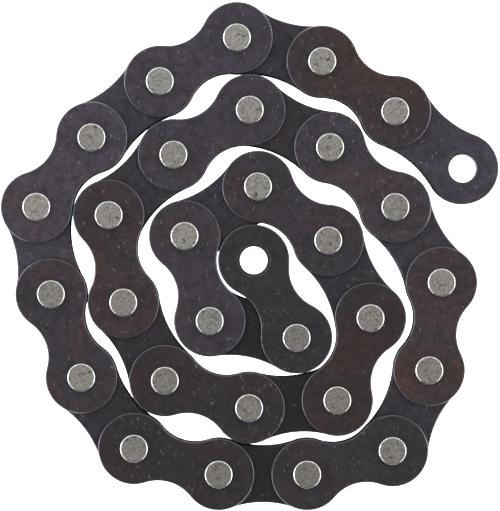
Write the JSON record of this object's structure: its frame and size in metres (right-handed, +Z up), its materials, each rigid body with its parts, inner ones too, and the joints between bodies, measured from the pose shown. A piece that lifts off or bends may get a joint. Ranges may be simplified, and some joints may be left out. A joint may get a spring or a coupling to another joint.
{
  "type": "roller drive chain",
  "caption": "Bush roller chain laid flat in a spiral coil, with alternating inner and outer links, free rollers and riveted pins; both ends open for joining.",
  "frame": {"origin": "middle of the coil's bounding box in X and Y, at the height of the lower ends of the pins, which the chain lies on", "axes": "+Z up, along every pin; X and Y in the plane of the coil, with the coil's outer end at +X +Y"},
  "size_m": [0.0714, 0.073, 0.0147],
  "materials": {
    "outer_plate_steel": "heat-treated dark steel with a light oil film, satin, browned in patches",
    "inner_plate_steel": "heat-treated dark blue-black steel with a light oil film, satin",
    "roller_steel": "smooth case-hardened steel, dark grey, semi-gloss"
  },
  "bodies": {
    "inner_link_08": {"inner_link_08": "inner_plate_steel"},
    "outer_link_01": {"outer_link_01": "outer_plate_steel"},
    "outer_link_02": {"outer_link_02": "outer_plate_steel"},
    "outer_link_03": {"outer_link_03": "outer_plate_steel"},
    "outer_link_04": {"outer_link_04": "outer_plate_steel"},
    "outer_link_05": {"outer_link_05": "outer_plate_steel"},
    "outer_link_06": {"outer_link_06": "outer_plate_steel"},
    "outer_link_07": {"outer_link_07": "outer_plate_steel"},
    "outer_link_08": {"outer_link_08": "outer_plate_steel"},
    "outer_link_09": {"outer_link_09": "outer_plate_steel"},
    "outer_link_10": {"outer_link_10": "outer_plate_steel"},
    "outer_link_11": {"outer_link_11": "outer_plate_steel"},
    "outer_link_12": {"outer_link_12": "outer_plate_steel"},
    "outer_link_13": {"outer_link_13": "outer_plate_steel"},
    "outer_link_14": {"outer_link_14": "outer_plate_steel"},
    "outer_link_15": {"outer_link_15": "outer_plate_steel"},
    "inner_link_01": {"inner_link_01": "inner_plate_steel"},
    "inner_link_02": {"inner_link_02": "inner_plate_steel"},
    "inner_link_03": {"inner_link_03": "inner_plate_steel"},
    "inner_link_04": {"inner_link_04": "inner_plate_steel"},
    "inner_link_05": {"inner_link_05": "inner_plate_steel"},
    "inner_link_06": {"inner_link_06": "inner_plate_steel"},
    "inner_link_07": {"inner_link_07": "inner_plate_steel"},
    "inner_link_09": {"inner_link_09": "inner_plate_steel"},
    "inner_link_10": {"inner_link_10": "inner_plate_steel"},
    "inner_link_11": {"inner_link_11": "inner_plate_steel"},
    "inner_link_12": {"inner_link_12": "inner_plate_steel"},
    "inner_link_13": {"inner_link_13": "inner_plate_steel"},
    "inner_link_14": {"inner_link_14": "inner_plate_steel"},
    "inner_link_15": {"inner_link_15": "inner_plate_steel"},
    "roller_01": {"roller_01": "roller_steel"},
    "roller_02": {"roller_02": "roller_steel"},
    "roller_03": {"roller_03": "roller_steel"},
    "roller_04": {"roller_04": "roller_steel"},
    "roller_05": {"roller_05": "roller_steel"},
    "roller_06": {"roller_06": "roller_steel"},
    "roller_07": {"roller_07": "roller_steel"},
    "roller_08": {"roller_08": "roller_steel"},
    "roller_09": {"roller_09": "roller_steel"},
    "roller_10": {"roller_10": "roller_steel"},
    "roller_11": {"roller_11": "roller_steel"},
    "roller_12": {"roller_12": "roller_steel"},
    "roller_13": {"roller_13": "roller_steel"},
    "roller_14": {"roller_14": "roller_steel"},
    "roller_15": {"roller_15": "roller_steel"},
    "roller_16": {"roller_16": "roller_steel"},
    "roller_17": {"roller_17": "roller_steel"},
    "roller_18": {"roller_18": "roller_steel"},
    "roller_19": {"roller_19": "roller_steel"},
    "roller_20": {"roller_20": "roller_steel"},
    "roller_21": {"roller_21": "roller_steel"},
    "roller_22": {"roller_22": "roller_steel"},
    "roller_23": {"roller_23": "roller_steel"},
    "roller_24": {"roller_24": "roller_steel"},
    "roller_25": {"roller_25": "roller_steel"},
    "roller_26": {"roller_26": "roller_steel"},
    "roller_27": {"roller_27": "roller_steel"},
    "roller_28": {"roller_28": "roller_steel"},
    "roller_29": {"roller_29": "roller_steel"},
    "roller_30": {"roller_30": "roller_steel"}
  },
  "joints": [
    {"name": "unroll_14", "type": "hinge", "parent": "inner_link_08", "child": "outer_link_07", "pos_m": [0.02752, -0.0038, 0.00735], "axis": [0, 0, 1], "range_deg": [0, 51.5]},
    {"name": "hinge_13", "type": "hinge", "parent": "outer_link_07", "child": "inner_link_07", "pos_m": [0.02575, -0.01638, 0.00735], "axis": [0, 0, 1], "range_deg": [0, 38.5]},
    {"name": "hinge_12", "type": "hinge", "parent": "inner_link_07", "child": "outer_link_06", "pos_m": [0.02048, -0.02793, 0.00735], "axis": [0, 0, 1], "range_deg": [0, 72]},
    {"name": "hinge_11", "type": "hinge", "parent": "outer_link_06", "child": "inner_link_06", "pos_m": [0.00824, -0.03133, 0.00735], "axis": [0, 0, 1], "range_deg": [0, 11.5]},
    {"name": "hinge_10", "type": "hinge", "parent": "inner_link_06", "child": "outer_link_05", "pos_m": [-0.00446, -0.03133, 0.00735], "axis": [0, 0, 1], "range_deg": [0, 17]},
    {"name": "hinge_09", "type": "hinge", "parent": "outer_link_05", "child": "inner_link_05", "pos_m": [-0.0166, -0.02761, 0.00735], "axis": [0, 0, 1], "range_deg": [0, 57.5]},
    {"name": "hinge_08", "type": "hinge", "parent": "inner_link_05", "child": "outer_link_04", "pos_m": [-0.02416, -0.0174, 0.00735], "axis": [0, 0, 1], "range_deg": [0, 44.5]},
    {"name": "hinge_07", "type": "hinge", "parent": "outer_link_04", "child": "inner_link_04", "pos_m": [-0.0285, -0.00547, 0.00735], "axis": [0, 0, 1], "range_deg": [0, 44.5]},
    {"name": "hinge_06", "type": "hinge", "parent": "inner_link_04", "child": "outer_link_03", "pos_m": [-0.0306, 0.00706, 0.00735], "axis": [0, 0, 1], "range_deg": [0, 90]},
    {"name": "hinge_05", "type": "hinge", "parent": "outer_link_03", "child": "inner_link_03", "pos_m": [-0.02269, 0.01699, 0.00735], "axis": [0, 0, 1], "range_deg": [0, 42]},
    {"name": "hinge_04", "type": "hinge", "parent": "inner_link_03", "child": "outer_link_02", "pos_m": [-0.01289, 0.02507, 0.00735], "axis": [0, 0, 1], "range_deg": [0, 37]},
    {"name": "hinge_03", "type": "hinge", "parent": "outer_link_02", "child": "inner_link_02", "pos_m": [-0.00184, 0.03133, 0.00735], "axis": [0, 0, 1], "range_deg": [0, 68]},
    {"name": "hinge_02", "type": "hinge", "parent": "inner_link_02", "child": "outer_link_01", "pos_m": [0.0104, 0.02793, 0.00735], "axis": [0, 0, 1], "range_deg": [0, 35]},
    {"name": "hinge_01", "type": "hinge", "parent": "outer_link_01", "child": "inner_link_01", "pos_m": [0.02087, 0.02074, 0.00735], "axis": [0, 0, 1], "range_deg": [0, 10.5]},
    {"name": "hinge_15", "type": "hinge", "parent": "inner_link_08", "child": "outer_link_08", "pos_m": [0.02088, 0.00703, 0.00735], "axis": [0, 0, -1], "range_deg": [0, 12]},
    {"name": "hinge_16", "type": "hinge", "parent": "outer_link_08", "child": "inner_link_09", "pos_m": [0.01152, 0.01561, 0.00735], "axis": [0, 0, -1], "range_deg": [0, 9.5]},
    {"name": "hinge_17", "type": "hinge", "parent": "inner_link_09", "child": "outer_link_09", "pos_m": [0.00001, 0.02098, 0.00735], "axis": [0, 0, -1], "range_deg": [0, 12.5]},
    {"name": "hinge_18", "type": "hinge", "parent": "outer_link_09", "child": "inner_link_10", "pos_m": [-0.01094, 0.01453, 0.00735], "axis": [0, 0, -1], "range_deg": [0, 9.5]},
    {"name": "hinge_19", "type": "hinge", "parent": "inner_link_10", "child": "outer_link_10", "pos_m": [-0.02022, 0.00587, 0.00735], "axis": [0, 0, -1], "range_deg": [0, 55.5]},
    {"name": "hinge_20", "type": "hinge", "parent": "outer_link_10", "child": "inner_link_11", "pos_m": [-0.01813, -0.00666, 0.00735], "axis": [0, 0, -1], "range_deg": [0, 12.5]},
    {"name": "hinge_21", "type": "hinge", "parent": "inner_link_11", "child": "outer_link_11", "pos_m": [-0.01217, -0.01787, 0.00735], "axis": [0, 0, -1], "range_deg": [0, 14]},
    {"name": "hinge_22", "type": "hinge", "parent": "outer_link_11", "child": "inner_link_12", "pos_m": [-0.00009, -0.02179, 0.00735], "axis": [0, 0, -1], "range_deg": [0, 9]},
    {"name": "hinge_23", "type": "hinge", "parent": "inner_link_12", "child": "outer_link_12", "pos_m": [0.01256, -0.02069, 0.00735], "axis": [0, 0, -1], "range_deg": [0, 32]},
    {"name": "hinge_24", "type": "hinge", "parent": "outer_link_12", "child": "inner_link_13", "pos_m": [0.01732, -0.00891, 0.00735], "axis": [0, 0, -1], "range_deg": [0, 19.5]},
    {"name": "hinge_25", "type": "hinge", "parent": "inner_link_13", "child": "outer_link_13", "pos_m": [0.01126, 0.00225, 0.00735], "axis": [0, 0, -1], "range_deg": [0, 9]},
    {"name": "hinge_26", "type": "hinge", "parent": "outer_link_13", "child": "inner_link_14", "pos_m": [0.00119, 0.00998, 0.00735], "axis": [0, 0, -1], "range_deg": [0, 63.5]},
    {"name": "hinge_27", "type": "hinge", "parent": "inner_link_14", "child": "outer_link_14", "pos_m": [-0.00934, 0.00288, 0.00735], "axis": [0, 0, -1], "range_deg": [0, 26.5]},
    {"name": "hinge_28", "type": "hinge", "parent": "outer_link_14", "child": "inner_link_15", "pos_m": [-0.00574, -0.0093, 0.00735], "axis": [0, 0, -1], "range_deg": [0, 10.5]},
    {"name": "hinge_29", "type": "hinge", "parent": "inner_link_15", "child": "outer_link_15", "pos_m": [0.00673, -0.01172, 0.00735], "axis": [0, 0, -1], "range_deg": [0, 81]},
    {"name": "roller_01_spin", "type": "hinge", "parent": "inner_link_01", "child": "roller_01", "pos_m": [0.0306, 0.01258, 0.00735], "axis": [0, 0, 1], "continuous": true},
    {"name": "roller_02_spin", "type": "hinge", "parent": "inner_link_01", "child": "roller_02", "pos_m": [0.02087, 0.02074, 0.00735], "axis": [0, 0, 1], "continuous": true},
    {"name": "roller_03_spin", "type": "hinge", "parent": "inner_link_02", "child": "roller_03", "pos_m": [0.0104, 0.02793, 0.00735], "axis": [0, 0, 1], "continuous": true},
    {"name": "roller_04_spin", "type": "hinge", "parent": "inner_link_02", "child": "roller_04", "pos_m": [-0.00184, 0.03133, 0.00735], "axis": [0, 0, 1], "continuous": true},
    {"name": "roller_05_spin", "type": "hinge", "parent": "inner_link_03", "child": "roller_05", "pos_m": [-0.01289, 0.02507, 0.00735], "axis": [0, 0, 1], "continuous": true},
    {"name": "roller_06_spin", "type": "hinge", "parent": "inner_link_03", "child": "roller_06", "pos_m": [-0.02269, 0.01699, 0.00735], "axis": [0, 0, 1], "continuous": true},
    {"name": "roller_07_spin", "type": "hinge", "parent": "inner_link_04", "child": "roller_07", "pos_m": [-0.0306, 0.00706, 0.00735], "axis": [0, 0, 1], "continuous": true},
    {"name": "roller_08_spin", "type": "hinge", "parent": "inner_link_04", "child": "roller_08", "pos_m": [-0.0285, -0.00547, 0.00735], "axis": [0, 0, 1], "continuous": true},
    {"name": "roller_09_spin", "type": "hinge", "parent": "inner_link_05", "child": "roller_09", "pos_m": [-0.02416, -0.0174, 0.00735], "axis": [0, 0, 1], "continuous": true},
    {"name": "roller_10_spin", "type": "hinge", "parent": "inner_link_05", "child": "roller_10", "pos_m": [-0.0166, -0.02761, 0.00735], "axis": [0, 0, 1], "continuous": true},
    {"name": "roller_11_spin", "type": "hinge", "parent": "inner_link_06", "child": "roller_11", "pos_m": [-0.00446, -0.03133, 0.00735], "axis": [0, 0, 1], "continuous": true},
    {"name": "roller_12_spin", "type": "hinge", "parent": "inner_link_06", "child": "roller_12", "pos_m": [0.00824, -0.03133, 0.00735], "axis": [0, 0, 1], "continuous": true},
    {"name": "roller_13_spin", "type": "hinge", "parent": "inner_link_07", "child": "roller_13", "pos_m": [0.02048, -0.02793, 0.00735], "axis": [0, 0, 1], "continuous": true},
    {"name": "roller_14_spin", "type": "hinge", "parent": "inner_link_07", "child": "roller_14", "pos_m": [0.02575, -0.01638, 0.00735], "axis": [0, 0, 1], "continuous": true},
    {"name": "roller_15_spin", "type": "hinge", "parent": "inner_link_08", "child": "roller_15", "pos_m": [0.02752, -0.0038, 0.00735], "axis": [0, 0, 1], "continuous": true},
    {"name": "roller_16_spin", "type": "hinge", "parent": "inner_link_08", "child": "roller_16", "pos_m": [0.02088, 0.00703, 0.00735], "axis": [0, 0, 1], "continuous": true},
    {"name": "roller_17_spin", "type": "hinge", "parent": "inner_link_09", "child": "roller_17", "pos_m": [0.01152, 0.01561, 0.00735], "axis": [0, 0, 1], "continuous": true},
    {"name": "roller_18_spin", "type": "hinge", "parent": "inner_link_09", "child": "roller_18", "pos_m": [0.00001, 0.02098, 0.00735], "axis": [0, 0, 1], "continuous": true},
    {"name": "roller_19_spin", "type": "hinge", "parent": "inner_link_10", "child": "roller_19", "pos_m": [-0.01094, 0.01453, 0.00735], "axis": [0, 0, 1], "continuous": true},
    {"name": "roller_20_spin", "type": "hinge", "parent": "inner_link_10", "child": "roller_20", "pos_m": [-0.02022, 0.00587, 0.00735], "axis": [0, 0, 1], "continuous": true},
    {"name": "roller_21_spin", "type": "hinge", "parent": "inner_link_11", "child": "roller_21", "pos_m": [-0.01813, -0.00666, 0.00735], "axis": [0, 0, 1], "continuous": true},
    {"name": "roller_22_spin", "type": "hinge", "parent": "inner_link_11", "child": "roller_22", "pos_m": [-0.01217, -0.01787, 0.00735], "axis": [0, 0, 1], "continuous": true},
    {"name": "roller_23_spin", "type": "hinge", "parent": "inner_link_12", "child": "roller_23", "pos_m": [-0.00009, -0.02179, 0.00735], "axis": [0, 0, 1], "continuous": true},
    {"name": "roller_24_spin", "type": "hinge", "parent": "inner_link_12", "child": "roller_24", "pos_m": [0.01256, -0.02069, 0.00735], "axis": [0, 0, 1], "continuous": true},
    {"name": "roller_25_spin", "type": "hinge", "parent": "inner_link_13", "child": "roller_25", "pos_m": [0.01732, -0.00891, 0.00735], "axis": [0, 0, 1], "continuous": true},
    {"name": "roller_26_spin", "type": "hinge", "parent": "inner_link_13", "child": "roller_26", "pos_m": [0.01126, 0.00225, 0.00735], "axis": [0, 0, 1], "continuous": true},
    {"name": "roller_27_spin", "type": "hinge", "parent": "inner_link_14", "child": "roller_27", "pos_m": [0.00119, 0.00998, 0.00735], "axis": [0, 0, 1], "continuous": true},
    {"name": "roller_28_spin", "type": "hinge", "parent": "inner_link_14", "child": "roller_28", "pos_m": [-0.00934, 0.00288, 0.00735], "axis": [0, 0, 1], "continuous": true},
    {"name": "roller_29_spin", "type": "hinge", "parent": "inner_link_15", "child": "roller_29", "pos_m": [-0.00574, -0.0093, 0.00735], "axis": [0, 0, 1], "continuous": true},
    {"name": "roller_30_spin", "type": "hinge", "parent": "inner_link_15", "child": "roller_30", "pos_m": [0.00673, -0.01172, 0.00735], "axis": [0, 0, 1], "continuous": true}
  ],
  "couplings": [
    {"joint": "hinge_13", "follows": "unroll_14", "ratio": 0.74757},
    {"joint": "hinge_12", "follows": "unroll_14", "ratio": 1.3981},
    {"joint": "hinge_11", "follows": "unroll_14", "ratio": 0.2233},
    {"joint": "hinge_10", "follows": "unroll_14", "ratio": 0.3301},
    {"joint": "hinge_09", "follows": "unroll_14", "ratio": 1.1165},
    {"joint": "hinge_08", "follows": "unroll_14", "ratio": 0.86408},
    {"joint": "hinge_07", "follows": "unroll_14", "ratio": 0.86408},
    {"joint": "hinge_06", "follows": "unroll_14", "ratio": 1.7476},
    {"joint": "hinge_05", "follows": "unroll_14", "ratio": 0.81553},
    {"joint": "hinge_04", "follows": "unroll_14", "ratio": 0.71845},
    {"joint": "hinge_03", "follows": "unroll_14", "ratio": 1.3204},
    {"joint": "hinge_02", "follows": "unroll_14", "ratio": 0.67961},
    {"joint": "hinge_01", "follows": "unroll_14", "ratio": 0.20388},
    {"joint": "hinge_15", "follows": "unroll_14", "ratio": 0.23301},
    {"joint": "hinge_16", "follows": "unroll_14", "ratio": 0.18447},
    {"joint": "hinge_17", "follows": "unroll_14", "ratio": 0.24272},
    {"joint": "hinge_18", "follows": "unroll_14", "ratio": 0.18447},
    {"joint": "hinge_19", "follows": "unroll_14", "ratio": 1.0777},
    {"joint": "hinge_20", "follows": "unroll_14", "ratio": 0.24272},
    {"joint": "hinge_21", "follows": "unroll_14", "ratio": 0.27184},
    {"joint": "hinge_22", "follows": "unroll_14", "ratio": 0.17476},
    {"joint": "hinge_23", "follows": "unroll_14", "ratio": 0.62136},
    {"joint": "hinge_24", "follows": "unroll_14", "ratio": 0.37864},
    {"joint": "hinge_25", "follows": "unroll_14", "ratio": 0.17476},
    {"joint": "hinge_26", "follows": "unroll_14", "ratio": 1.233},
    {"joint": "hinge_27", "follows": "unroll_14", "ratio": 0.51456},
    {"joint": "hinge_28", "follows": "unroll_14", "ratio": 0.20388},
    {"joint": "hinge_29", "follows": "unroll_14", "ratio": 1.5728}
  ]
}
